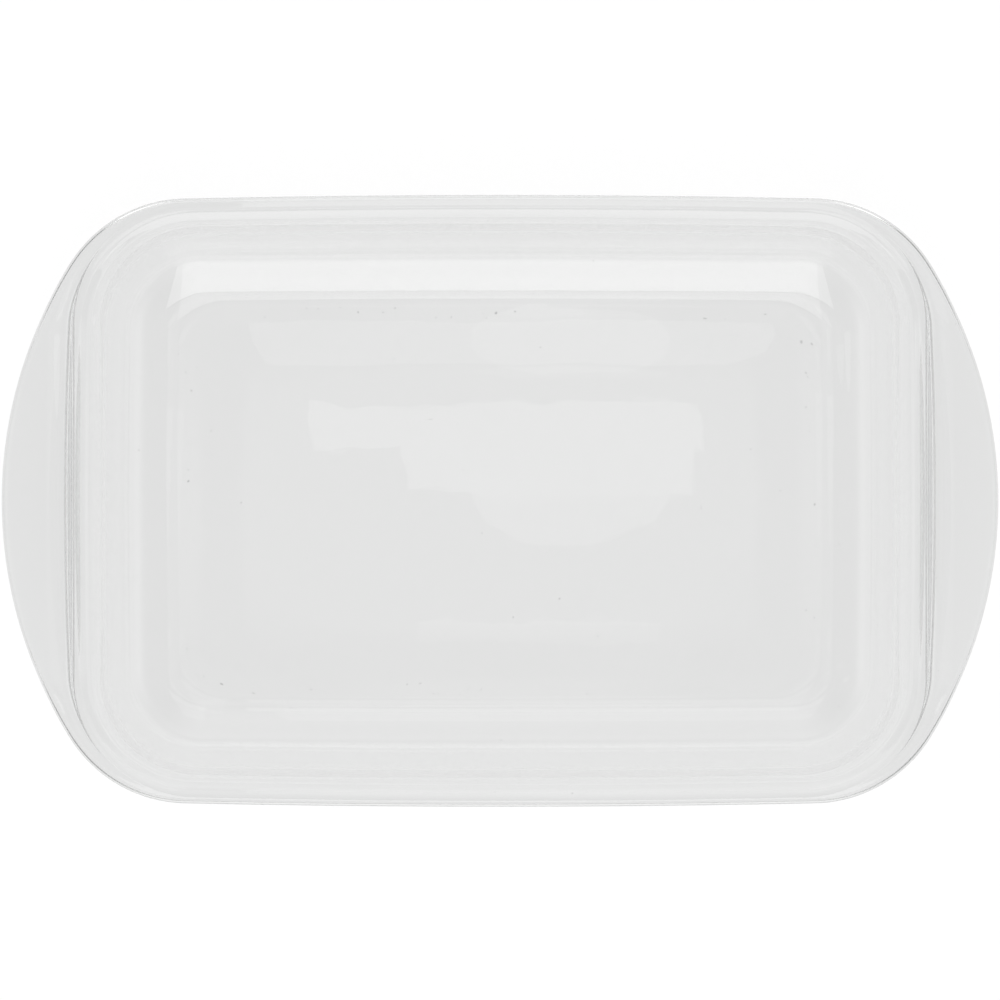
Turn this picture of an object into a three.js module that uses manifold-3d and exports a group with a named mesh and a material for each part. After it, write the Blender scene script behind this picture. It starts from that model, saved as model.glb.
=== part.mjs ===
// Oblong pressed-glass oven dish with two crescent handles.
// Millimetres, +X along the dish from handle to handle, +Z up, origin under the middle of the base.
import * as THREE from 'three';
import { mergeVertices } from 'three/addons/utils/BufferGeometryUtils.js';
import Module from 'manifold-3d';

// Mouth: the inner wall line carried up to the rim plane
const MOUTH_LENGTH = 311.6;
const MOUTH_WIDTH = 212.5;
const MOUTH_CORNER_RADIUS = 40;
const MOUTH_SIDE_BOW = 1.3;
const MOUTH_END_BOW = 0.6;

// Walls and floor
const HEIGHT = 54;
const WALL_DRAFT_DEGREES = 6.55;
const WALL_THICKNESS = 4.5;
const FLOOR_THICKNESS = 5.8;
const FLOOR_FILLET_RADIUS = 23.7;
const FLOOR_SIDE_BOW = 0.5;

// Rim: a rounded inner edge, a narrow crest, and a hollow slope down to the lip
const RIM_ROUND_RADIUS = 4.9;
const CREST_WIDTH = 2.4;
const CREST_RISE = 3.7;
const CREST_SLOPE_WIDTH = 12;
const CREST_SLOPE_FOOT = 4.3;

// Lip and handles: one flange, measured out from the wall below it
const LIP_OVERHANG = 5.784;
const LIP_END_OVERHANG = 13.459;
const LIP_CORNER_RADIUS = 53.5;
const LIP_SIDE_BOW = 1.3;
const LIP_EDGE_RADIUS = 1;
const LIP_FILLET_RADIUS = 18.3;
const FLANGE_THICKNESS = 7;
const HANDLE_CROWN = 18.075;

// Underside: a bearing ring round a shallow push-up
const BASE_FILLET_RADIUS = 31;
const BASE_END_INSET = 1;
const BASE_CORNER_RADIUS = 18;
const BEARING_WIDTH = 4;
const PUSH_UP_HEIGHT = 0.3;
const PUSH_UP_SLOPE_WIDTH = 24;
const PUSH_UP_CORNER_RADIUS = 12;

// Facets: pieces of each run in a quarter of the outline, and of each round in the section
const END_PIECES = 6;
const CORNER_PIECES = 12;
const SIDE_PIECES = 6;
const LARGE_ROUND_PIECES = 6;
const SMALL_ROUND_PIECES = 3;

// A round takes at most this share of the glass that it is cut in
const ROUND_SHARE = 0.45;
const CREST_SHARE = 0.9;
const SLOPE_SHARE = 0.85;

// Share of the crest's width that rounds over into the slope
const CREST_ROUND_SHARE = 0.5;

// Rounding allowed where an arc ends, in radians, and where a cut meets its plane
const ANGLE_SLACK = 1e-9;
const PLANE_SLACK = 1e-3;

const GLASS_COLOUR = 0xe4e7e6;
const GLASS_ROUGHNESS = 0.04;
const GLASS_OPACITY = 0.4;

// Levels and runs that follow from the sizes above
const draft = THREE.MathUtils.degToRad(WALL_DRAFT_DEGREES);
const floorTop = PUSH_UP_HEIGHT + FLOOR_THICKNESS;
const flangeUnderside = HEIGHT - CREST_RISE - FLANGE_THICKNESS;
const roundLeg = (radius) => radius * Math.tan((Math.PI / 2 - draft) / 2);
const innerWallAt = (z) => (z - HEIGHT) * Math.tan(draft);
const outerWallAt = (z) => innerWallAt(z) + WALL_THICKNESS / Math.cos(draft);
const wallTop = outerWallAt(flangeUnderside);
const rimLeg = roundLeg(RIM_ROUND_RADIUS);
const handleRoot = MOUTH_LENGTH / 2 + MOUTH_END_BOW + rimLeg + CREST_WIDTH + CREST_SLOPE_FOOT;

// Radius of the arc that touches two corner circles and stands proud of them by the bow
function bowRadius(cornerRadius, halfSpan, bow) {
  const reach = cornerRadius + bow;
  return (reach * reach + halfSpan * halfSpan - cornerRadius * cornerRadius) / (2 * bow);
}

// A quarter of a rounded oblong, as three tangent arcs: half the end, the corner and half the side
function makeOutline({ halfLength, halfWidth, cornerRadius, sideBow, endBow }) {
  const cornerX = halfLength - cornerRadius;
  const cornerY = halfWidth - cornerRadius;
  const endRadius = bowRadius(cornerRadius, cornerY, endBow);
  const endX = halfLength + endBow - endRadius;
  const endAngle = Math.atan2(cornerY, cornerX - endX);
  const sideRadius = bowRadius(cornerRadius, cornerX, sideBow);
  const sideY = halfWidth + sideBow - sideRadius;
  const sideAngle = Math.atan2(cornerY - sideY, cornerX);
  return {
    end: { x: endX, y: 0, radius: endRadius, from: 0, to: endAngle },
    corner: { x: cornerX, y: cornerY, radius: cornerRadius, from: endAngle, to: sideAngle },
    side: { x: 0, y: sideY, radius: sideRadius, from: sideAngle, to: Math.PI / 2 },
  };
}

// The mouth's outline moved in or out, with the bow of its long sides at that level
function mouthOffset(distance, sideBow) {
  return makeOutline({
    halfLength: MOUTH_LENGTH / 2 + distance,
    halfWidth: MOUTH_WIDTH / 2 + distance,
    cornerRadius: MOUTH_CORNER_RADIUS + distance,
    sideBow,
    endBow: MOUTH_END_BOW,
  });
}

// The lip's outer edge: rounder than the mouth at its corners, and swollen into a handle at each end
function lipOutline() {
  return makeOutline({
    halfLength: MOUTH_LENGTH / 2 + wallTop + LIP_END_OVERHANG,
    halfWidth: MOUTH_WIDTH / 2 + wallTop + LIP_OVERHANG,
    cornerRadius: LIP_CORNER_RADIUS,
    sideBow: LIP_SIDE_BOW,
    endBow: HANDLE_CROWN,
  });
}

// The base, set in from the foot of the outer wall, and drawn in further towards its push-up
function baseOutline(inset, cornerRadius) {
  const foot = outerWallAt(0) - roundLeg(BASE_FILLET_RADIUS);
  return makeOutline({
    halfLength: MOUTH_LENGTH / 2 + foot - BASE_END_INSET - inset,
    halfWidth: MOUTH_WIDTH / 2 + foot - inset,
    cornerRadius,
    sideBow: FLOOR_SIDE_BOW,
    endBow: MOUTH_END_BOW,
  });
}

const outlines = {
  mouth: mouthOffset(0, MOUTH_SIDE_BOW),
  lip: lipOutline(),
  wallFoot: mouthOffset(innerWallAt(floorTop), FLOOR_SIDE_BOW),
  floor: mouthOffset(innerWallAt(floorTop) - roundLeg(FLOOR_FILLET_RADIUS), FLOOR_SIDE_BOW),
  outerFoot: mouthOffset(outerWallAt(0), FLOOR_SIDE_BOW),
  base: baseOutline(0, BASE_CORNER_RADIUS),
  bearing: baseOutline(BEARING_WIDTH, BASE_CORNER_RADIUS - BEARING_WIDTH),
  pushUp: baseOutline(BEARING_WIDTH + PUSH_UP_SLOPE_WIDTH, PUSH_UP_CORNER_RADIUS),
};

// Direction out of an outline at a station, which is a share of one of its arcs
function normalAt(outline, { run, share }) {
  const angle = THREE.MathUtils.lerp(outline[run].from, outline[run].to, share);
  return new THREE.Vector3(Math.cos(angle), Math.sin(angle), 0);
}

function pointAt(outline, station, z) {
  const arc = outline[station.run];
  const point = normalAt(outline, station).multiplyScalar(arc.radius);
  return point.add(new THREE.Vector3(arc.x, arc.y, z));
}

// Distance along a level ray from inside an outline to the arc that it meets
function distanceToOutline(outline, point, direction) {
  const arcDistance = (arc) => {
    const from = new THREE.Vector3(point.x - arc.x, point.y - arc.y, 0);
    const along = from.dot(direction);
    return Math.sqrt(along * along - from.lengthSq() + arc.radius * arc.radius) - along;
  };
  const meets = (arc) => {
    const hit = direction.clone().multiplyScalar(arcDistance(arc)).add(point);
    const angle = Math.atan2(hit.y - arc.y, hit.x - arc.x);
    return angle > arc.from - ANGLE_SLACK && angle < arc.to + ANGLE_SLACK;
  };
  const arc = [outline.end, outline.side].find(meets) ?? outline.corner;
  return arcDistance(arc);
}

// Points round a corner between the ends of its two legs, a true arc where the legs are equal
function roundCorner(start, corner, end, pieces) {
  const legs = [start.clone().sub(corner), end.clone().sub(corner)];
  const weight = Math.sin(legs[0].angleTo(legs[1]) / 2);
  return Array.from({ length: pieces + 1 }, (_, i) => {
    const t = i / pieces;
    const shares = [(1 - t) ** 2, 2 * weight * t * (1 - t), t ** 2];
    const total = shares[0] + shares[1] + shares[2];
    return new THREE.Vector3()
      .addScaledVector(start, shares[0] / total)
      .addScaledVector(corner, shares[1] / total)
      .addScaledVector(end, shares[2] / total);
  });
}

// The point a given way along the line from one point towards another
function towards(from, to, distance) {
  return to.clone().sub(from).setLength(distance).add(from);
}

// The glass cut across its wall: up from the floor, over the rim and lip, and down to the base
function sectionAt(station) {
  const mouth = pointAt(outlines.mouth, station, HEIGHT);
  const outward = normalAt(outlines.mouth, station);
  const at = (distance, z) => mouth.clone().addScaledVector(outward, distance).setZ(z);

  const lipWidth = distanceToOutline(outlines.lip, mouth, outward);
  const overhang = lipWidth - wallTop;
  const edgeWidth = Math.min(LIP_EDGE_RADIUS, ROUND_SHARE * overhang);
  const edgeStart = lipWidth - edgeWidth;

  const crestFit = Math.min(1, CREST_SHARE * edgeStart / (rimLeg + CREST_WIDTH));
  const crestStart = rimLeg * crestFit;
  const crestEnd = crestStart + CREST_WIDTH * crestFit;
  const slopeWidth = Math.min(CREST_SLOPE_WIDTH, SLOPE_SHARE * (edgeStart - crestEnd));
  // A slope cut short by a narrow lip is shallower too, so it fades out along the sides
  const slopeFit = slopeWidth / CREST_SLOPE_WIDTH;
  const lipTop = HEIGHT - CREST_RISE * THREE.MathUtils.smootherstep(slopeFit, 0, 1);
  const crestLeg = CREST_ROUND_SHARE * CREST_WIDTH * Math.min(crestFit, slopeFit);
  const edgeHeight = Math.min(LIP_EDGE_RADIUS, ROUND_SHARE * (lipTop - flangeUnderside));
  const lipLeg = Math.min(roundLeg(LIP_FILLET_RADIUS), ROUND_SHARE * overhang);

  const crestEdge = at(crestEnd, HEIGHT);
  const slopeFoot = at(crestEnd + CREST_SLOPE_FOOT * slopeFit, lipTop);
  const slopeStart = towards(crestEdge, slopeFoot, crestLeg);

  const floorEdge = pointAt(outlines.floor, station, floorTop);
  const wallFoot = pointAt(outlines.wallFoot, station, floorTop);
  const floorRoundEnd = towards(wallFoot, mouth, roundLeg(FLOOR_FILLET_RADIUS));
  const underLip = at(wallTop, flangeUnderside);
  const outerFoot = pointAt(outlines.outerFoot, station, 0);
  const baseRoundStart = towards(outerFoot, underLip, roundLeg(BASE_FILLET_RADIUS));
  const baseEdge = pointAt(outlines.base, station, 0);

  return [
    ...roundCorner(floorEdge, wallFoot, floorRoundEnd, LARGE_ROUND_PIECES),
    ...roundCorner(towards(mouth, wallFoot, crestStart), mouth, at(crestStart, HEIGHT), SMALL_ROUND_PIECES),
    ...roundCorner(at(crestEnd - crestLeg, HEIGHT), crestEdge, slopeStart, SMALL_ROUND_PIECES),
    ...roundCorner(slopeStart, slopeFoot, at(crestEnd + slopeWidth, lipTop), LARGE_ROUND_PIECES).slice(1),
    ...roundCorner(
      at(edgeStart, lipTop), at(lipWidth, lipTop), at(lipWidth, lipTop - edgeHeight), SMALL_ROUND_PIECES),
    ...roundCorner(
      at(lipWidth, flangeUnderside + edgeHeight), at(lipWidth, flangeUnderside),
      at(edgeStart, flangeUnderside), SMALL_ROUND_PIECES),
    ...roundCorner(
      at(wallTop + lipLeg, flangeUnderside), underLip, towards(underLip, outerFoot, lipLeg),
      LARGE_ROUND_PIECES),
    ...roundCorner(baseRoundStart, outerFoot, baseEdge, LARGE_ROUND_PIECES),
    pointAt(outlines.bearing, station, 0),
    pointAt(outlines.pushUp, station, PUSH_UP_HEIGHT),
  ];
}

// Stations of one quarter, from the middle of the end to the middle of the side
function quarterStations() {
  const pieces = { end: END_PIECES, corner: CORNER_PIECES, side: SIDE_PIECES };
  const stations = Object.entries(pieces).flatMap(([run, count]) =>
    Array.from({ length: count }, (_, i) => ({ run, share: i / count })));
  return [...stations, { run: 'side', share: 1 }];
}

// Sections all round the dish, counter-clockwise, mirrored from those of one quarter
function allSections() {
  const quarter = quarterStations().map(sectionAt);
  const forward = quarter.slice(0, -1);
  const backward = quarter.slice(1).reverse();
  const mirrored = (sections, x, y) =>
    sections.map((section) => section.map((point) => point.clone().multiply(new THREE.Vector3(x, y, 1))));
  return [
    ...mirrored(forward, 1, 1),
    ...mirrored(backward, -1, 1),
    ...mirrored(forward, -1, -1),
    ...mirrored(backward, 1, -1),
  ];
}

// The whole pressing: a skin over the sections, closed by the floor inside and the push-up below
function pressedGlass() {
  const sections = allSections();
  const rings = sections[0].length;
  const count = sections.length;
  const vertex = (station, ring) => (station % count) * rings + ring;
  const faces = [];
  for (let station = 0; station < count; station += 1) {
    for (let ring = 0; ring < rings - 1; ring += 1) {
      const [a, b] = [vertex(station, ring), vertex(station, ring + 1)];
      const [c, d] = [vertex(station + 1, ring + 1), vertex(station + 1, ring)];
      faces.push(a, b, c, a, c, d);
    }
  }
  const ringPlan = (ring) => sections.map((section) => new THREE.Vector2(section[ring].x, section[ring].y));
  for (const [a, b, c] of THREE.ShapeUtils.triangulateShape(ringPlan(0), [])) {
    faces.push(vertex(a, 0), vertex(b, 0), vertex(c, 0));
  }
  const last = rings - 1;
  for (const [a, b, c] of THREE.ShapeUtils.triangulateShape(ringPlan(last), [])) {
    faces.push(vertex(a, last), vertex(c, last), vertex(b, last));
  }
  const geometry = new THREE.BufferGeometry().setFromPoints(sections.flat());
  return geometry.setIndex(faces);
}

// The space past a handle's root, on one side of the dish
function pastHandleRoot(side) {
  const reach = MOUTH_LENGTH;
  const box = new THREE.BoxGeometry(reach, MOUTH_LENGTH + MOUTH_WIDTH, 2 * HEIGHT);
  box.deleteAttribute('normal');
  box.deleteAttribute('uv');
  box.translate(side * (handleRoot + reach / 2), 0, HEIGHT / 2);
  return mergeVertices(box);
}

const wasm = await Module();
wasm.setup();

function toSolid(geometry) {
  const vertProperties = new Float32Array(geometry.attributes.position.array);
  const triVerts = new Uint32Array(geometry.index.array);
  return new wasm.Manifold(new wasm.Mesh({ numProp: 3, vertProperties, triVerts }));
}

// A cut solid as geometry, with the points of each cut set exactly on the handle's root plane
function toGeometry(solid) {
  const { vertProperties, triVerts } = solid.getMesh();
  for (let i = 0; i < vertProperties.length; i += 3) {
    const side = Math.sign(vertProperties[i]);
    if (Math.abs(vertProperties[i] - side * handleRoot) < PLANE_SLACK) {
      vertProperties[i] = side * handleRoot;
    }
  }
  const geometry = new THREE.BufferGeometry();
  geometry.setAttribute('position', new THREE.BufferAttribute(vertProperties, 3));
  geometry.setIndex(new THREE.BufferAttribute(triVerts, 1));
  geometry.computeVertexNormals();
  return geometry;
}

function glassMesh(name, solid) {
  const material = new THREE.MeshStandardMaterial({
    color: GLASS_COLOUR,
    roughness: GLASS_ROUGHNESS,
    metalness: 0,
    transparent: true,
    opacity: GLASS_OPACITY,
  });
  const mesh = new THREE.Mesh(toGeometry(solid), material);
  mesh.name = name;
  return mesh;
}

const glass = toSolid(pressedGlass());
const leftSpace = toSolid(pastHandleRoot(-1));
const rightSpace = toSolid(pastHandleRoot(1));

const dish = new THREE.Group();
dish.name = 'baking_dish';
dish.add(
  glassMesh('dish_bowl', glass.subtract(leftSpace).subtract(rightSpace)),
  glassMesh('left_handle', glass.intersect(leftSpace)),
  glassMesh('right_handle', glass.intersect(rightSpace)),
);

export default dish;
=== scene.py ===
"""Oblong glass oven dish, pressed in one piece with two crescent handles, seen from straight above."""

import math

import bpy
import numpy as np
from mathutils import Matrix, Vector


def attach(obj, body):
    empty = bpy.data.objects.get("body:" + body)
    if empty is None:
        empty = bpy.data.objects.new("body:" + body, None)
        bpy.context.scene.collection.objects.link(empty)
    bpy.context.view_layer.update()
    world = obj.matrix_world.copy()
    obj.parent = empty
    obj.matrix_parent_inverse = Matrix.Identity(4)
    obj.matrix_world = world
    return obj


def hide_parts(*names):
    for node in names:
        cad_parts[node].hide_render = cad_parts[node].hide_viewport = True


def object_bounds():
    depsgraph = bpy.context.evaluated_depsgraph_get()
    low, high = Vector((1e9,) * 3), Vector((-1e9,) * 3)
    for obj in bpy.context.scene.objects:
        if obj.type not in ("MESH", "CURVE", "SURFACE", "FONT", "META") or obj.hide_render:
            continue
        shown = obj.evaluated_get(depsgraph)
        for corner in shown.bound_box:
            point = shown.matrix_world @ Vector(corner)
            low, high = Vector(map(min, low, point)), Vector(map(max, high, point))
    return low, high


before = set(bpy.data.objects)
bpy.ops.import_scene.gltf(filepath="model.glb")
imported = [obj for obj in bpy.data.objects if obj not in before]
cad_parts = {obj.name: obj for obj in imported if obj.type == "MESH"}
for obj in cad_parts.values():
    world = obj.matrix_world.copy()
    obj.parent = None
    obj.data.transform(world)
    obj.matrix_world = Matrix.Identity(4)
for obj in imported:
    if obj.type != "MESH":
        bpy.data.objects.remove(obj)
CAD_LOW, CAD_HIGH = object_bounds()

bl_info = {
    "name": "Glass oven dish",
    "version": (1, 0, 0),
    "blender": (4, 5, 0),
    "location": "View3D > Sidebar > Oven dish",
    "description": "Presses an oblong glass oven dish and sets it on a pale studio floor",
    "category": "Object",
}

# Pieces along half an end, a corner and half a side of the outline
RUN_PIECES = (36, 44, 36)
# Pieces round a floor or base fillet, and round a small edge
LARGE_ROUND_PIECES = 24
SMALL_ROUND_PIECES = 10
# Places of the rings between two rounds, and from the middle of a flat to its edge
STRAIGHT_SHARES = np.array([0.02, 0.2, 0.4, 0.6, 0.8, 0.98])
FLAT_SHARES = np.array([0.12, 0.4, 0.65, 0.85, 0.95, 0.99])
# A round takes at most this share of the glass that it is cut in
ROUND_SHARE = 0.45
CREST_SHARE = 0.9
SLOPE_SHARE = 0.85
# Share of the crest's width that rounds over into the slope
CREST_ROUND_SHARE = 0.5
# Rounding allowed where an arc ends, in radians
ANGLE_SLACK = 1e-9
# Pressing waves: octaves of finer waves, and the share of its height that each keeps of the one before
WAVE_OCTAVES = 3.0
WAVE_FALL = 0.4
# Specks: cells of their noise per metre, its octaves, and the noise at which each kind starts and is full
SPECK_SCALE = 420.0
SPECK_OCTAVES = 2.0
RUB_MARKS = (0.702, 0.716)
SEEDS = (0.785, 0.8)
# How dark a seed is next to a rub mark
SEED_STRENGTH = 0.4
# Roughness of the glass in a rub mark
RUB_ROUGHNESS = 0.4
# Height of glass that counts as the bearing ring: none of it, and all of it
BEARING_DEPTH = (3e-6, 0.0)
# Floor: its middle, just under the bearing ring, and its size
FLOOR_MIDDLE = (0.0, 0.0, -0.0003)
FLOOR_SIZE = (12.0, 12.0)
# Brightness of the floor in all, and of the light that falls on it
FLOOR_WHITE = 1.052
FLOOR_LIGHT = 1.1
# Dark card overhead that the near lip mirrors: its middle and its size
CARD_MIDDLE = (0.0, -0.4, 2.4)
CARD_SIZE = (0.9, 0.11)
# Brightness of the studio at angles from straight up, in degrees, towards the dish's ends and its sides
SKY_TO_ENDS = (
    (0, 0.83), (6.6, 0.83), (7.8, 0.4), (52, 0.4), (57, 0.65),
    (62, 1.15), (68, 1.22), (76, 0.95), (82, 0.95), (90, 1.6))
SKY_TO_SIDES = (
    (0, 0.83), (4.4, 0.83), (5.4, 0.45), (10, 0.45), (16, 0.82), (26, 1.05), (34, 1.05),
    (42, 0.9), (56, 0.78), (70, 0.85), (73, 0.45), (78, 0.45), (82, 1.3), (90, 1.7))
SKY_BRIGHTEST = 2.0
# Least length, squared, of a direction's level part, so that nothing is divided by zero overhead
LEAST_SQUARE = 1e-6
# Where the darker corners of the studio fade in and out, as shares of the way from straight up to level
CORNER_START = (0.13, 0.28)
CORNER_END = (0.89, 0.78)
# Softbox and skirt: their distance from the dish and their width
SOFTBOX_DISTANCE = 2.3
SOFTBOX_WIDTH = 1.7
# Pale panels overhead that the flat glass mirrors: outline, middle, size and brightness
CEILING_PANELS = {
    "long_patch": ("RECTANGLE", (0.006, 0.093, 2.48), (0.5, 0.058), 0.45),
    "middle_patch": ("RECTANGLE", (0.06, 0.037, 2.48), (0.36, 0.054), 0.45),
    "short_patch": ("ELLIPSE", (0.09, 0.01, 2.48), (0.25, 0.13), 0.3),
    "far_patch": ("ELLIPSE", (0.09, 0.205, 2.48), (0.26, 0.09), 0.35),
    "near_streak": ("RECTANGLE", (0.05, -0.17, 2.48), (0.3, 0.025), 0.25),
    "far_panel": ("RECTANGLE", (0.08, 0.424, 2.5), (0.8, 0.31), 0.8),
    "far_wall": ("RECTANGLE", (0.08, 1.05, 2.5), (0.75, 0.86), 0.4),
    "left_window": ("ELLIPSE", (-1.75, 0.215, 2.5), (0.8, 0.17), 0.7),
}
# Light runs a long way inside the rim and walls before it comes out again
LIGHT_BOUNCES = 100


def length(name, description, default):
    """A size in metres that a user may change."""
    return bpy.props.FloatProperty(
        name=name, description=description, default=default, min=0.0, precision=4, unit="LENGTH")


def level(name, description, default):
    """A brightness, where 1 is white, or a share of one."""
    return bpy.props.FloatProperty(
        name=name, description=description, default=default, min=0.0, soft_max=4.0, precision=3)


class DishSizes(bpy.types.PropertyGroup):
    """Driving sizes of the pressing."""

    height: length("Height", "Bearing ring to rim crest", CAD_HIGH.z - CAD_LOW.z)
    mouth_length: length("Mouth length", "Inner wall line carried up to the rim plane", 0.3116)
    mouth_width: length("Mouth width", "Inner wall line carried up to the rim plane", 0.2125)
    mouth_corner: length("Mouth corner radius", "Plan radius of the mouth's corners", 0.040)
    mouth_side_bow: length("Mouth side bow", "How far the mouth's long sides bow out", 0.0013)
    mouth_end_bow: length("Mouth end bow", "How far the mouth's ends bow out", 0.0006)
    wall_draft: bpy.props.FloatProperty(
        name="Wall draft", description="Slope of the walls from upright",
        default=math.radians(6.55), subtype="ANGLE")
    wall_thickness: length("Wall thickness", "Glass across the wall", 0.0045)
    floor_thickness: length("Floor thickness", "Glass through the floor", 0.0058)
    floor_fillet: length("Floor fillet", "Radius inside, from floor to wall", 0.0237)
    floor_side_bow: length("Floor side bow", "How far the floor's long sides bow out", 0.0005)
    rim_round: length("Rim round", "Radius of the rim's inner edge", 0.0049)
    crest_width: length("Crest width", "Level top of the rim", 0.0024)
    crest_rise: length("Crest rise", "Crest above the lip and handles", 0.0037)
    slope_width: length("Slope width", "Hollow slope from the crest to the lip", 0.012)
    slope_foot: length("Slope foot", "Crest to the foot of the slope's steep part", 0.0043)
    lip_overhang: length("Lip overhang", "Lip past the wall, on the long sides", 0.005784)
    lip_end_overhang: length("Lip end overhang", "Lip past the wall, under the handles", 0.013459)
    lip_corner: length("Lip corner radius", "Plan radius of the lip's corners", 0.0535)
    lip_side_bow: length("Lip side bow", "How far the lip's long sides bow out", 0.0013)
    lip_edge: length("Lip edge", "Radius of the lip's outer edges", 0.001)
    lip_fillet: length("Lip fillet", "Radius under the lip, against the wall", 0.0183)
    flange_thickness: length("Flange thickness", "Glass through the lip and handles", 0.007)
    handle_crown: length("Handle crown", "How far each handle swells past the lip", 0.018075)
    base_fillet: length("Base fillet", "Radius outside, from wall to base", 0.031)
    base_end_inset: length("Base end inset", "Base drawn in further at its ends", 0.001)
    base_corner: length("Base corner radius", "Plan radius of the base's corners", 0.018)
    bearing_width: length("Bearing width", "Ring that the dish stands on", 0.004)
    push_up: length("Push-up", "Base raised inside the bearing ring", 0.0003)
    push_up_slope: length("Push-up slope", "Width of the slope up from the ring", 0.024)
    push_up_corner: length("Push-up corner radius", "Plan radius of the push-up's corners", 0.012)


class GlassFinish(bpy.types.PropertyGroup):
    """Colour and surface of the glass."""

    tint: bpy.props.FloatVectorProperty(
        name="Tint", description="Light left after a pass through the glass",
        default=(0.797, 0.799, 0.797), size=3, min=0.0, max=1.0, subtype="COLOR")
    depth_colour: bpy.props.FloatVectorProperty(
        name="Depth colour", description="Colour that long runs through the glass take on",
        default=(0.8, 0.81, 0.805), size=3, min=0.0, max=1.0, subtype="COLOR")
    depth_density: bpy.props.FloatProperty(
        name="Depth density", description="How fast light fades inside the glass, per metre",
        default=7.0, min=0.0)
    rub_colour: bpy.props.FloatVectorProperty(
        name="Rub marks", description="Specks rubbed into the bearing ring",
        default=(0.3, 0.3, 0.3), size=3, min=0.0, max=1.0, subtype="COLOR")
    refraction: bpy.props.FloatProperty(
        name="Refractive index", description="Index of the glass", default=1.5, min=1.0, max=2.0)
    wave_height: length("Wave height", "Depth of the slow waves that pressing leaves", 0.00012)
    wave_length: length("Wave length", "Distance between those waves", 0.06)


class StudioSettings(bpy.types.PropertyGroup):
    """Floor, light and camera."""

    floor_shade: level("Floor shade", "Part of the floor's white that takes shadow", 0.1)
    sky: level("Sky", "Strength of the soft light from all round", 1.0)
    corner_shade: level("Corner shade", "Part of the soft light that the studio's corners lack", 0.65)
    softbox: level("Softbox", "Brightness of the large panel on the near side", 1.42)
    softbox_top: bpy.props.FloatProperty(
        name="Softbox top", description="Upper edge of the softbox, as an angle from straight up",
        default=math.radians(11.0), subtype="ANGLE")
    softbox_foot: bpy.props.FloatProperty(
        name="Softbox foot", description="Lower edge of the softbox, as an angle from straight up",
        default=math.radians(75.0), subtype="ANGLE")
    skirt: level("Skirt", "Brightness of the softbox's weaker skirt, under its lower edge", 0.7)
    skirt_foot: bpy.props.FloatProperty(
        name="Skirt foot", description="Lower edge of the skirt, as an angle from straight up",
        default=math.radians(84.0), subtype="ANGLE")
    ceiling_panels: level("Ceiling panels", "Brightness of the panels overhead", 1.0)
    card_shade: level("Card shade", "Grey of the dark card overhead", 0.03)
    camera_distance: length("Camera distance", "Camera above the handles", 1.08)
    view_width: length("View width", "Width of the picture at the handles", 0.3822)
    view_offset: length("View offset", "Camera moved towards the far side", 0.0003)


# Outlines in plan

def bow_radius(corner_radius, half_span, bow):
    """Radius of the arc that touches two corner circles and stands proud of them by the bow.

    With reach = corner radius + bow, it is (reach^2 + half span^2 - corner radius^2) / (2 bow).
    """
    reach = corner_radius + bow
    return (reach ** 2 + half_span ** 2 - corner_radius ** 2) / (2.0 * bow)


def rounded_oblong(half_length, half_width, corner_radius, side_bow, end_bow):
    """A quarter of a rounded oblong as three tangent arcs: half the end, the corner, half the side.

    Each row is an arc's centre x and y, its radius, and its first and last angle.
    """
    corner_x, corner_y = half_length - corner_radius, half_width - corner_radius
    end_radius = bow_radius(corner_radius, corner_y, end_bow)
    end_x = half_length + end_bow - end_radius
    end_angle = math.atan2(corner_y, corner_x - end_x)
    side_radius = bow_radius(corner_radius, corner_x, side_bow)
    side_y = half_width + side_bow - side_radius
    side_angle = math.atan2(corner_y - side_y, corner_x)
    return np.array([
        [end_x, 0.0, end_radius, 0.0, end_angle],
        [corner_x, corner_y, corner_radius, end_angle, side_angle],
        [0.0, side_y, side_radius, side_angle, math.pi / 2.0],
    ])


def quarter_stations():
    """Which arc each station of a quarter is on, and its share of that arc, from end to side."""
    runs = np.repeat(np.arange(3), RUN_PIECES)
    shares = np.concatenate([np.arange(count) / count for count in RUN_PIECES])
    return np.append(runs, 2), np.append(shares, 1.0)


def normals_at(outline, stations):
    """Directions out of an outline: the angle goes evenly along each arc."""
    runs, shares = stations
    angles = outline[runs, 3] + shares * (outline[runs, 4] - outline[runs, 3])
    return np.stack([np.cos(angles), np.sin(angles), np.zeros_like(angles)], axis=1)


def points_at(outline, stations, z):
    """Points on an outline: each arc's centre plus its radius along the normal, at height z."""
    runs, _ = stations
    points = outline[runs, 2, None] * normals_at(outline, stations)
    points[:, :2] += outline[runs, :2]
    points[:, 2] = z
    return points


def distances_to(outline, points, directions):
    """Distances along level rays to the arc that each meets, by the quadratic for a circle."""
    offsets = points[None, :, :2] - outline[:, None, :2]
    along = np.sum(offsets * directions[None, :, :2], axis=2)
    spare = along ** 2 - np.sum(offsets ** 2, axis=2) + outline[:, None, 2] ** 2
    distances = np.sqrt(np.maximum(spare, 0.0)) - along
    hits = offsets + directions[None, :, :2] * distances[:, :, None]
    angles = np.arctan2(hits[:, :, 1], hits[:, :, 0])
    meets = (angles > outline[:, None, 3] - ANGLE_SLACK) & (angles < outline[:, None, 4] + ANGLE_SLACK)
    return np.where(meets[0], distances[0], np.where(meets[2], distances[2], distances[1]))


# Lines across the wall, one for every station at once

def towards(start, end, distance):
    """The points a given way along the lines from one set of points towards another."""
    line = end - start
    reach = np.broadcast_to(distance, line.shape[:1])
    return start + line * (reach / np.linalg.norm(line, axis=1))[:, None]


def straight(start, end, shares=STRAIGHT_SHARES):
    """Points at the given shares of the lines between two sets of points."""
    return start[:, None] + shares[None, :, None] * (end - start)[:, None]


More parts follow.
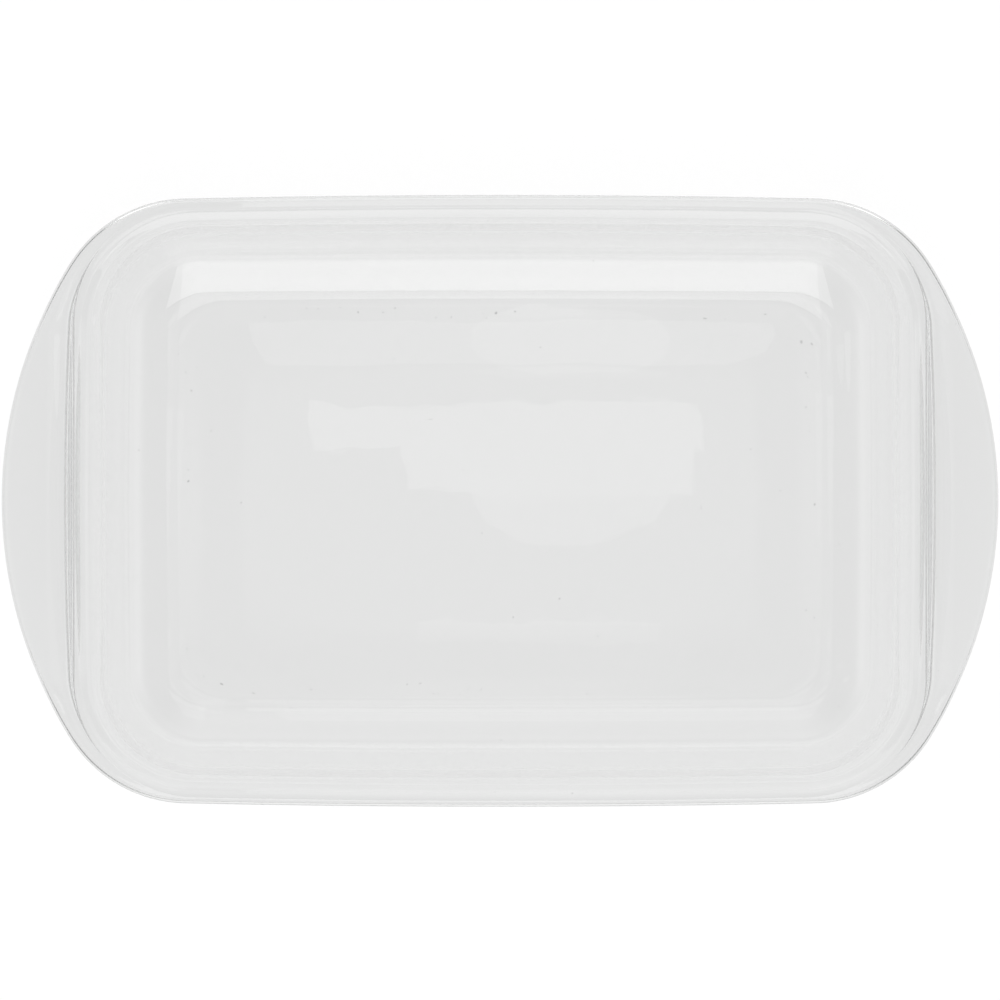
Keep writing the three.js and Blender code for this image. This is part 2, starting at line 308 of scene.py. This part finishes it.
def round_corner(start, corner, end, pieces):
    """Points round a corner between the ends of its two legs.

    A rational quadratic curve: the corner's weight is the sine of half the angle between the legs,
    which makes a true arc where the legs are equal.
    """
    first, last = start - corner, end - corner
    cosine = np.sum(first * last, axis=1) / (np.linalg.norm(first, axis=1) * np.linalg.norm(last, axis=1))
    weight = np.sqrt((1.0 - cosine) / 2.0)[:, None]
    t = np.linspace(0.0, 1.0, pieces + 1)[None]
    parts = np.stack(np.broadcast_arrays((1.0 - t) ** 2, 2.0 * weight * t * (1.0 - t), t ** 2))
    parts /= parts.sum(axis=0)
    return np.einsum("ksp,ksx->spx", parts, np.stack([start, corner, end]))


def ease(start, end, pieces):
    """Points from one set to another, level at both ends: the height goes as 3t^2 - 2t^3."""
    t = np.linspace(0.0, 1.0, pieces + 1)[None, 1:]
    points = start[:, None] + t[:, :, None] * (end - start)[:, None]
    points[:, :, 2] = start[:, None, 2] + (3.0 * t ** 2 - 2.0 * t ** 3) * (end - start)[:, None, 2]
    return points


def glass_sections(sizes):
    """The glass cut across its wall at each station of a quarter, as stations by rings by xyz.

    A section runs up from the floor, over the rim and lip, and down to the base. Walls are straight
    lines at the draft, and each corner is rounded; the rim's parts lie along the mouth's normal, out
    to the lip's own outline, and shrink together where the lip is narrow. The drop from the crest to
    the lip grows as 6f^5 - 15f^4 + 10f^3, where f is the share of the slope's width that fits.
    """
    slope = math.tan(sizes.wall_draft)
    floor_top = sizes.push_up + sizes.floor_thickness
    flange_under = sizes.height - sizes.crest_rise - sizes.flange_thickness
    leg_ratio = math.tan((math.pi / 2.0 - sizes.wall_draft) / 2.0)
    wall_across = sizes.wall_thickness / math.cos(sizes.wall_draft)
    wall_top = (flange_under - sizes.height) * slope + wall_across
    floor_foot = (floor_top - sizes.height) * slope
    outer_foot_offset = wall_across - sizes.height * slope
    half_length, half_width = sizes.mouth_length / 2.0, sizes.mouth_width / 2.0

    def mouth_offset(distance, side_bow):
        return rounded_oblong(half_length + distance, half_width + distance,
                              sizes.mouth_corner + distance, side_bow, sizes.mouth_end_bow)

    def base_outline(inset, corner):
        foot = outer_foot_offset - sizes.base_fillet * leg_ratio - inset
        return rounded_oblong(half_length + foot - sizes.base_end_inset, half_width + foot,
                              corner, sizes.floor_side_bow, sizes.mouth_end_bow)

    lip_outline = rounded_oblong(half_length + wall_top + sizes.lip_end_overhang,
                                 half_width + wall_top + sizes.lip_overhang,
                                 sizes.lip_corner, sizes.lip_side_bow, sizes.handle_crown)

    stations = quarter_stations()
    mouth_outline = mouth_offset(0.0, sizes.mouth_side_bow)
    mouth = points_at(mouth_outline, stations, sizes.height)
    outward = normals_at(mouth_outline, stations)

    def at(distance, z):
        points = mouth + outward * np.broadcast_to(distance, mouth.shape[:1])[:, None]
        points[:, 2] = z
        return points

    lip_width = distances_to(lip_outline, mouth, outward)
    overhang = lip_width - wall_top
    edge_start = lip_width - np.minimum(sizes.lip_edge, ROUND_SHARE * overhang)
    rim_leg = sizes.rim_round * leg_ratio
    crest_fit = np.minimum(1.0, CREST_SHARE * edge_start / (rim_leg + sizes.crest_width))
    crest_start = rim_leg * crest_fit
    crest_end = crest_start + sizes.crest_width * crest_fit
    slope_width = np.minimum(sizes.slope_width, SLOPE_SHARE * (edge_start - crest_end))
    slope_fit = slope_width / sizes.slope_width
    drop_share = slope_fit ** 3 * (slope_fit * (6.0 * slope_fit - 15.0) + 10.0)
    lip_top = sizes.height - sizes.crest_rise * drop_share
    edge_height = np.minimum(sizes.lip_edge, ROUND_SHARE * (lip_top - flange_under))
    lip_leg = np.minimum(sizes.lip_fillet * leg_ratio, ROUND_SHARE * overhang)
    crest_leg = CREST_ROUND_SHARE * sizes.crest_width * np.minimum(crest_fit, slope_fit)

    floor_edge = points_at(mouth_offset(floor_foot - sizes.floor_fillet * leg_ratio, sizes.floor_side_bow),
                           stations, floor_top)
    wall_foot = points_at(mouth_offset(floor_foot, sizes.floor_side_bow), stations, floor_top)
    floor_round_end = towards(wall_foot, mouth, sizes.floor_fillet * leg_ratio)
    rim_round_start = towards(mouth, wall_foot, crest_start)
    crest_edge = at(crest_end, sizes.height)
    slope_foot = at(crest_end + sizes.slope_foot * slope_fit, lip_top)
    slope_steep = towards(crest_edge, slope_foot, crest_leg)
    slope_end = at(crest_end + slope_width, lip_top)
    lip_corner_top, lip_corner_under = at(lip_width, lip_top), at(lip_width, flange_under)
    edge_top, edge_under = at(edge_start, lip_top), at(edge_start, flange_under)
    under_lip = at(wall_top, flange_under)
    under_lip_start = at(wall_top + lip_leg, flange_under)
    outer_foot = points_at(mouth_offset(outer_foot_offset, sizes.floor_side_bow), stations, 0.0)
    under_lip_end = towards(under_lip, outer_foot, lip_leg)
    base_round_start = towards(outer_foot, under_lip, sizes.base_fillet * leg_ratio)
    base_edge = points_at(base_outline(0.0, sizes.base_corner), stations, 0.0)
    bearing_edge = points_at(base_outline(sizes.bearing_width, sizes.base_corner - sizes.bearing_width),
                             stations, 0.0)
    push_up_edge = points_at(base_outline(sizes.bearing_width + sizes.push_up_slope, sizes.push_up_corner),
                             stations, sizes.push_up)
    floor_middle = np.broadcast_to([0.0, 0.0, floor_top], mouth.shape)
    base_middle = np.broadcast_to([0.0, 0.0, sizes.push_up], mouth.shape)

    return np.concatenate([
        straight(floor_middle, floor_edge, FLAT_SHARES),
        round_corner(floor_edge, wall_foot, floor_round_end, LARGE_ROUND_PIECES),
        straight(floor_round_end, rim_round_start),
        round_corner(rim_round_start, mouth, at(crest_start, sizes.height), SMALL_ROUND_PIECES),
        round_corner(at(crest_end - crest_leg, sizes.height), crest_edge, slope_steep, SMALL_ROUND_PIECES),
        round_corner(slope_steep, slope_foot, slope_end, SMALL_ROUND_PIECES)[:, 1:],
        straight(slope_end, edge_top),
        round_corner(edge_top, lip_corner_top, at(lip_width, lip_top - edge_height), SMALL_ROUND_PIECES),
        round_corner(at(lip_width, flange_under + edge_height), lip_corner_under, edge_under,
                     SMALL_ROUND_PIECES),
        straight(edge_under, under_lip_start),
        round_corner(under_lip_start, under_lip, under_lip_end, SMALL_ROUND_PIECES),
        straight(under_lip_end, base_round_start),
        round_corner(base_round_start, outer_foot, base_edge, LARGE_ROUND_PIECES),
        straight(base_edge, bearing_edge, STRAIGHT_SHARES[::2]),
        bearing_edge[:, None],
        ease(bearing_edge, push_up_edge, SMALL_ROUND_PIECES),
        straight(push_up_edge, base_middle, 1.0 - FLAT_SHARES[::-1]),
    ], axis=1)


def glass_skin(sizes):
    """Vertices and faces of the whole pressing.

    The quarter's sections are mirrored into the other three, counter-clockwise. Neighbouring sections
    are joined ring by ring with four-sided faces, and the floor and the base close on a middle point.
    """
    quarter = glass_sections(sizes)
    forward, backward = quarter[:-1], quarter[:0:-1]
    grid = np.concatenate([
        forward, backward * (-1.0, 1.0, 1.0), forward * (-1.0, -1.0, 1.0), backward * (1.0, -1.0, 1.0)])
    count, rings = grid.shape[:2]
    middles = [[0.0, 0.0, grid[0, 0, 2]], [0.0, 0.0, grid[0, -1, 2]]]
    vertices = np.concatenate([grid.reshape(-1, 3), middles])

    station = np.arange(count)
    following = (station + 1) % count
    ring = np.arange(rings - 1)
    here, there = station[:, None] * rings + ring, following[:, None] * rings + ring
    walls = np.stack([here, here + 1, there + 1, there], axis=2).reshape(-1, 4)
    floor_middle, base_middle = np.full(count, count * rings), np.full(count, count * rings + 1)
    floor_fan = np.stack([floor_middle, station * rings, following * rings], axis=1)
    base_fan = np.stack([station * rings + rings - 1, base_middle, following * rings + rings - 1], axis=1)
    return vertices, walls.tolist() + floor_fan.tolist() + base_fan.tolist()


# Glass

def link(tree, source, target):
    """Joins two sockets of a node tree."""
    tree.links.new(source, target)


def calculate(tree, operation, *values):
    """A maths node on sockets or plain numbers."""
    node = tree.nodes.new("ShaderNodeMath")
    node.operation = operation
    for socket, value in zip(node.inputs, values):
        if isinstance(value, bpy.types.NodeSocket):
            link(tree, value, socket)
        else:
            socket.default_value = value
    return node.outputs["Value"]


def rise(tree, value, ends):
    """Zero at the first end and beyond it, one at the second and beyond it, and a straight line between."""
    node = tree.nodes.new("ShaderNodeMapRange")
    node.inputs["From Min"].default_value, node.inputs["From Max"].default_value = ends
    link(tree, value, node.inputs["Value"])
    return node.outputs["Result"]


def pressed_glass(finish):
    """Clear glass with the slow waves of pressing, a few seeds, and rub marks on the bearing ring."""
    material = bpy.data.materials.new("pressed_glass")
    material.use_nodes = True
    tree = material.node_tree
    shader = tree.nodes["Principled BSDF"]
    shader.inputs["Transmission Weight"].default_value = 1.0
    shader.inputs["IOR"].default_value = finish.refraction
    depth = tree.nodes.new("ShaderNodeVolumeAbsorption")
    depth.inputs["Color"].default_value = (*finish.depth_colour, 1.0)
    depth.inputs["Density"].default_value = finish.depth_density
    link(tree, depth.outputs["Volume"], tree.nodes["Material Output"].inputs["Volume"])

    place = tree.nodes.new("ShaderNodeTexCoord")
    waves = tree.nodes.new("ShaderNodeTexNoise")
    waves.inputs["Scale"].default_value = 1.0 / finish.wave_length
    waves.inputs["Detail"].default_value = WAVE_OCTAVES
    waves.inputs["Roughness"].default_value = WAVE_FALL
    link(tree, place.outputs["Object"], waves.inputs["Vector"])
    wave_bump = tree.nodes.new("ShaderNodeBump")
    wave_bump.inputs["Strength"].default_value = 1.0
    wave_bump.inputs["Distance"].default_value = finish.wave_height
    link(tree, waves.outputs["Fac"], wave_bump.inputs["Height"])
    link(tree, wave_bump.outputs["Normal"], shader.inputs["Normal"])

    # Specks at the peaks of a fine noise: rub marks on the bearing ring, and a few seeds anywhere
    height = tree.nodes.new("ShaderNodeSeparateXYZ")
    link(tree, place.outputs["Object"], height.inputs["Vector"])
    specks = tree.nodes.new("ShaderNodeTexNoise")
    specks.inputs["Scale"].default_value = SPECK_SCALE
    specks.inputs["Detail"].default_value = SPECK_OCTAVES
    link(tree, place.outputs["Object"], specks.inputs["Vector"])
    bearing = rise(tree, height.outputs["Z"], BEARING_DEPTH)
    rubbed = calculate(tree, "MULTIPLY", bearing, rise(tree, specks.outputs["Fac"], RUB_MARKS))
    seeds = calculate(tree, "MULTIPLY", rise(tree, specks.outputs["Fac"], SEEDS), SEED_STRENGTH)
    marks = calculate(tree, "MAXIMUM", rubbed, seeds)
    colour = tree.nodes.new("ShaderNodeMix")
    colour.data_type = "RGBA"
    colour.inputs["A"].default_value = (*finish.tint, 1.0)
    colour.inputs["B"].default_value = (*finish.rub_colour, 1.0)
    link(tree, marks, colour.inputs["Factor"])
    link(tree, colour.outputs["Result"], shader.inputs["Base Color"])
    link(tree, calculate(tree, "MULTIPLY", rubbed, RUB_ROUGHNESS), shader.inputs["Roughness"])
    return material


class OVENDISH_OT_press_glass(bpy.types.Operator):
    """Press the whole dish as one closed skin of glass"""

    bl_idname = "ovendish.press_glass"
    bl_label = "Press glass"

    def execute(self, context):
        vertices, faces = glass_skin(context.scene.dish_sizes)
        mesh = bpy.data.meshes.new("glass_dish")
        mesh.from_pydata(vertices, [], faces)
        mesh.polygons.foreach_set("use_smooth", np.ones(len(mesh.polygons), dtype=bool))
        mesh.materials.append(pressed_glass(context.scene.glass_finish))
        mesh.update()
        dish = bpy.data.objects.new("glass_dish", mesh)
        context.scene.collection.objects.link(dish)
        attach(dish, "root")
        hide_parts("dish_bowl", "left_handle", "right_handle")
        return {"FINISHED"}


# Studio

def shown_rays(tree):
    """One where a ray is the camera's own, a reflection or seen through glass, and otherwise zero."""
    rays = tree.nodes.new("ShaderNodeLightPath")
    seen = rays.outputs["Is Camera Ray"]
    for kind in ("Is Glossy Ray", "Is Transmission Ray"):
        seen = calculate(tree, "MAXIMUM", seen, rays.outputs[kind])
    return seen


def pale_floor(studio):
    """White floor: part of its white takes the object's shadow, and the rest is its own glow.

    The glow is the floor's brightness in all, less the light that falls on it times its shade.
    """
    material = bpy.data.materials.new("pale_floor")
    material.use_nodes = True
    tree = material.node_tree
    tree.nodes.remove(tree.nodes["Principled BSDF"])
    lit = tree.nodes.new("ShaderNodeBsdfDiffuse")
    lit.inputs["Color"].default_value = (studio.floor_shade,) * 3 + (1.0,)
    own = tree.nodes.new("ShaderNodeEmission")
    glow = FLOOR_WHITE - FLOOR_LIGHT * studio.floor_shade
    link(tree, calculate(tree, "MULTIPLY", shown_rays(tree), glow), own.inputs["Strength"])
    both = tree.nodes.new("ShaderNodeAddShader")
    link(tree, lit.outputs["BSDF"], both.inputs[0])
    link(tree, own.outputs["Emission"], both.inputs[1])
    link(tree, both.outputs["Shader"], tree.nodes["Material Output"].inputs["Surface"])
    return material


def brightness_ramp(tree, share, levels):
    """Brightness by angle: straight lines between the levels, as a share of the brightest."""
    ramp = tree.nodes.new("ShaderNodeValToRGB")
    link(tree, share, ramp.inputs["Fac"])
    stops = ramp.color_ramp.elements
    for index, (angle, brightness) in enumerate(levels):
        stop = stops[index] if index < 2 else stops.new(1.0)
        stop.position = angle / 90.0
        stop.color = (brightness / SKY_BRIGHTEST,) * 3 + (1.0,)
    return ramp.outputs["Color"]


def studio_world(studio):
    """Soft light by its angle from straight up, mixed between the ends and the sides.

    The sides' share is f = y^2 / (x^2 + y^2), and the corners take off 4f(1 - f) times their shade.
    """
    world = bpy.data.worlds.new("studio")
    world.use_nodes = True
    tree = world.node_tree
    direction = tree.nodes.new("ShaderNodeTexCoord")
    axes = tree.nodes.new("ShaderNodeSeparateXYZ")
    link(tree, direction.outputs["Generated"], axes.inputs["Vector"])
    x, y, z = (axes.outputs[name] for name in "XYZ")
    share = calculate(tree, "DIVIDE", calculate(tree, "ARCCOSINE", z), math.pi / 2.0)
    across = calculate(tree, "MULTIPLY", y, y)
    level_square = calculate(tree, "MAXIMUM", calculate(tree, "MULTIPLY_ADD", x, x, across), LEAST_SQUARE)
    side_share = calculate(tree, "DIVIDE", across, level_square)
    mix = tree.nodes.new("ShaderNodeMix")
    link(tree, side_share, mix.inputs["Factor"])
    link(tree, brightness_ramp(tree, share, SKY_TO_ENDS), mix.inputs["A"])
    link(tree, brightness_ramp(tree, share, SKY_TO_SIDES), mix.inputs["B"])
    background = tree.nodes["Background"]
    background.inputs["Color"].default_value = (1.0, 1.0, 1.0, 1.0)
    in_corner = calculate(tree, "MULTIPLY", side_share, calculate(tree, "SUBTRACT", 1.0, side_share))
    in_span = calculate(tree, "MULTIPLY", rise(tree, share, CORNER_START), rise(tree, share, CORNER_END))
    shaded = calculate(tree, "MULTIPLY", in_corner, in_span)
    kept = calculate(tree, "MULTIPLY_ADD", shaded, -4.0 * studio.corner_shade, 1.0)
    soft = calculate(tree, "MULTIPLY", mix.outputs["Result"], kept)
    strength = calculate(tree, "MULTIPLY", soft, SKY_BRIGHTEST * studio.sky)
    link(tree, strength, background.inputs["Strength"])
    return world


def panel_light(name, outline, place, tilt, size, brightness):
    """A flat lamp whose face has the given brightness: power = brightness x pi x area.

    It faces down, and the tilt turns it about the x axis, which makes it face the far side.
    """
    lamp = bpy.data.lights.new(name, "AREA")
    lamp.shape = outline
    lamp.size, lamp.size_y = size
    area = size[0] * size[1] * (math.pi / 4.0 if outline == "ELLIPSE" else 1.0)
    lamp.energy = brightness * math.pi * area
    panel = bpy.data.objects.new(name, lamp)
    panel.location = place
    panel.rotation_euler = (tilt, 0.0, 0.0)
    bpy.context.scene.collection.objects.link(panel)


def hang_lights(studio):
    """The softbox and its weaker skirt, each over its span of angles, and the ceiling's panels."""
    spans = {
        "near_softbox": (studio.softbox_top, studio.softbox_foot, studio.softbox),
        "softbox_skirt": (studio.softbox_foot, studio.skirt_foot, studio.skirt),
    }
    for name, (top, foot, brightness) in spans.items():
        tilt = (top + foot) / 2.0
        depth = 2.0 * SOFTBOX_DISTANCE * math.tan((foot - top) / 2.0)
        place = (0.0, -SOFTBOX_DISTANCE * math.sin(tilt), SOFTBOX_DISTANCE * math.cos(tilt))
        panel_light(name, "RECTANGLE", place, tilt, (SOFTBOX_WIDTH, depth), brightness)
    for name, (outline, place, size, brightness) in CEILING_PANELS.items():
        panel_light(name, outline, place, 0.0, size, brightness * studio.ceiling_panels)


def dark_card(studio):
    """Matt card that takes light away from what mirrors it."""
    material = bpy.data.materials.new("dark_card")
    material.use_nodes = True
    shader = material.node_tree.nodes["Principled BSDF"]
    shader.inputs["Base Color"].default_value = (studio.card_shade,) * 3 + (1.0,)
    shader.inputs["Roughness"].default_value = 1.0
    return material


def level_sheet(name, middle, size, material):
    """A level rectangle: its middle plus and minus half its size along x and y."""
    halves = np.array([(-0.5, -0.5, 0.0), (0.5, -0.5, 0.0), (0.5, 0.5, 0.0), (-0.5, 0.5, 0.0)])
    mesh = bpy.data.meshes.new(name)
    mesh.from_pydata(np.array(middle) + halves * (*size, 0.0), [], [(0, 1, 2, 3)])
    mesh.materials.append(material)
    sheet = bpy.data.objects.new(name, mesh)
    bpy.context.scene.collection.objects.link(sheet)
    return sheet


class OVENDISH_OT_set_stage(bpy.types.Operator):
    """Lay the floor, hang the lights and set the camera straight above the dish"""

    bl_idname = "ovendish.set_stage"
    bl_label = "Set stage"

    def execute(self, context):
        scene, studio = context.scene, context.scene.studio_settings
        level_sheet("floor", FLOOR_MIDDLE, FLOOR_SIZE, pale_floor(studio))
        level_sheet("near_card", CARD_MIDDLE, CARD_SIZE, dark_card(studio))

        scene.world = studio_world(studio)
        hang_lights(studio)

        handles = scene.dish_sizes.height - scene.dish_sizes.crest_rise
        lens = bpy.data.cameras.new("overhead_camera")
        lens.sensor_width = 36.0
        lens.lens = lens.sensor_width * studio.camera_distance / studio.view_width
        camera = bpy.data.objects.new("overhead_camera", lens)
        camera.location = (0.0, studio.view_offset, handles + studio.camera_distance)
        scene.collection.objects.link(camera)
        scene.camera = camera
        scene.cycles.max_bounces = LIGHT_BOUNCES
        scene.cycles.glossy_bounces = LIGHT_BOUNCES
        scene.cycles.transmission_bounces = LIGHT_BOUNCES
        scene.view_settings.view_transform = "Standard"
        return {"FINISHED"}


# Panel and running

class OVENDISH_PT_panel(bpy.types.Panel):
    """Sizes, finish and studio of the dish"""

    bl_idname = "OVENDISH_PT_panel"
    bl_label = "Oven dish"
    bl_space_type = "VIEW_3D"
    bl_region_type = "UI"
    bl_category = "Oven dish"

    def draw(self, context):
        scene = context.scene
        for settings in (scene.dish_sizes, scene.glass_finish, scene.studio_settings):
            column = self.layout.column(align=True)
            for name in settings.__annotations__:
                column.prop(settings, name)
        self.layout.operator(OVENDISH_OT_press_glass.bl_idname)
        self.layout.operator(OVENDISH_OT_set_stage.bl_idname)


CLASSES = (DishSizes, GlassFinish, StudioSettings, OVENDISH_OT_press_glass, OVENDISH_OT_set_stage,
           OVENDISH_PT_panel)


def register():
    """Adds the classes and hangs their settings on the scene."""
    for item in CLASSES:
        bpy.utils.register_class(item)
    bpy.types.Scene.dish_sizes = bpy.props.PointerProperty(type=DishSizes)
    bpy.types.Scene.glass_finish = bpy.props.PointerProperty(type=GlassFinish)
    bpy.types.Scene.studio_settings = bpy.props.PointerProperty(type=StudioSettings)


def unregister():
    """Takes the settings and the classes away again."""
    del bpy.types.Scene.studio_settings
    del bpy.types.Scene.glass_finish
    del bpy.types.Scene.dish_sizes
    for item in reversed(CLASSES):
        bpy.utils.unregister_class(item)


def main():
    register()
    bpy.ops.ovendish.press_glass()
    bpy.ops.ovendish.set_stage()


if __name__ == "__main__":
    main()
